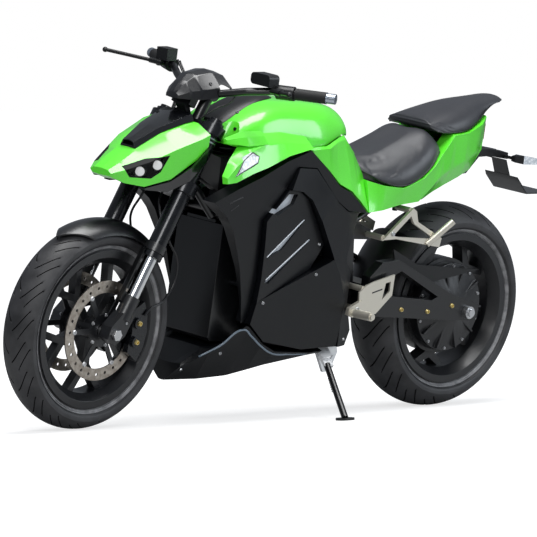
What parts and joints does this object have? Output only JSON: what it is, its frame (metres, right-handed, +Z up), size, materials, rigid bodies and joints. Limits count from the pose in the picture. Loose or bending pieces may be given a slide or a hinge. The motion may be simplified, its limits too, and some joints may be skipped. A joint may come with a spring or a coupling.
{
  "type": "electric street motorcycle",
  "caption": "Electric street motorcycle leaning on its side stand, with a hub motor in the rear wheel and faceted bodywork over a boxed battery.",
  "frame": {"origin": "centre of the whole machine's box at the ground it stands on", "axes": "+X forward, +Y the rider's left, +Z up; the machine leans to its left, onto its side stand"},
  "size_m": [2.129, 0.753, 1.0966],
  "materials": {
    "green_paint": "gloss lime green paint over moulded plastic",
    "satin_black": "satin black moulded plastic",
    "gloss_black": "gloss black moulded plastic",
    "black_frame": "black powder coat on steel tube and plate",
    "black_casting": "black anodised cast aluminium",
    "champagne_alloy": "bead-blasted silver anodised aluminium",
    "chrome": "hard chrome",
    "steel": "brushed steel",
    "tyre_rubber": "tyre rubber",
    "grip_rubber": "moulded rubber",
    "seat_vinyl": "dark grey vinyl seat cover",
    "clear_lens": "clear polycarbonate lens",
    "red_lens": "red tail lamp lens"
  },
  "bodies": {
    "chassis": {"main_frame": "black_frame", "battery_case": "black_frame", "swingarm": "black_frame", "rear_axle": "steel", "rear_shock": "steel", "rear_caliper": "black_casting", "hugger": "satin_black", "footrests": "champagne_alloy", "tank_cover": "green_paint", "tank_console": "satin_black", "shrouds": "green_paint", "knee_covers": "green_paint", "side_panels": "satin_black", "spar_covers": "satin_black", "vent_panels": "gloss_black", "lower_panels": "satin_black", "belly_pan": "gloss_black", "rider_seat": "seat_vinyl", "pillion_seat": "seat_vinyl", "tail_cover": "green_paint", "under_tail": "satin_black", "tail_lamp": "red_lens", "plate_holder": "black_frame", "indicators": "clear_lens", "stand_bracket": "champagne_alloy"},
    "steering": {"triple_clamps": "black_casting", "fork_tubes": "black_casting", "fork_legs": "chrome", "front_axle": "steel", "front_calipers": "black_casting", "fork_guards": "satin_black", "front_mudguard": "gloss_black", "handlebar": "black_frame", "grips": "grip_rubber", "bar_controls": "satin_black", "headlamp_cowl": "green_paint", "headlamps": "clear_lens", "cowl_trims": "gloss_black", "instrument": "satin_black", "visor": "satin_black", "brake_hoses": "grip_rubber"},
    "front_wheel": {"front_tyre": "tyre_rubber", "front_rim": "black_casting", "front_discs": "steel"},
    "rear_wheel": {"rear_tyre": "tyre_rubber", "rear_rim": "black_casting", "hub_motor": "black_casting", "rear_disc": "steel"},
    "side_stand": {"side_stand": "black_frame"}
  },
  "joints": [
    {"name": "steering", "type": "hinge", "parent": "chassis", "child": "steering", "pos_m": [0.46971, -0.0278, 0.7747], "axis": [-0.454, 0.1389, 0.8801], "range_deg": [-29.3, 22.7]},
    {"name": "front_wheel_spin", "type": "hinge", "parent": "steering", "child": "front_wheel", "pos_m": [0.76481, -0.10051, 0.2978], "axis": [-0.0513, 0.9821, -0.1815], "continuous": true},
    {"name": "rear_wheel_spin", "type": "hinge", "parent": "chassis", "child": "rear_wheel", "pos_m": [-0.67003, -0.10067, 0.31305], "axis": [0, 0.9878, -0.1559], "continuous": true},
    {"name": "stand_fold", "type": "hinge", "parent": "chassis", "child": "side_stand", "pos_m": [-0.09251, 0.0016, 0.17845], "axis": [0.24, 0.7032, 0.6692], "range_deg": [0, 96]}
  ]
}
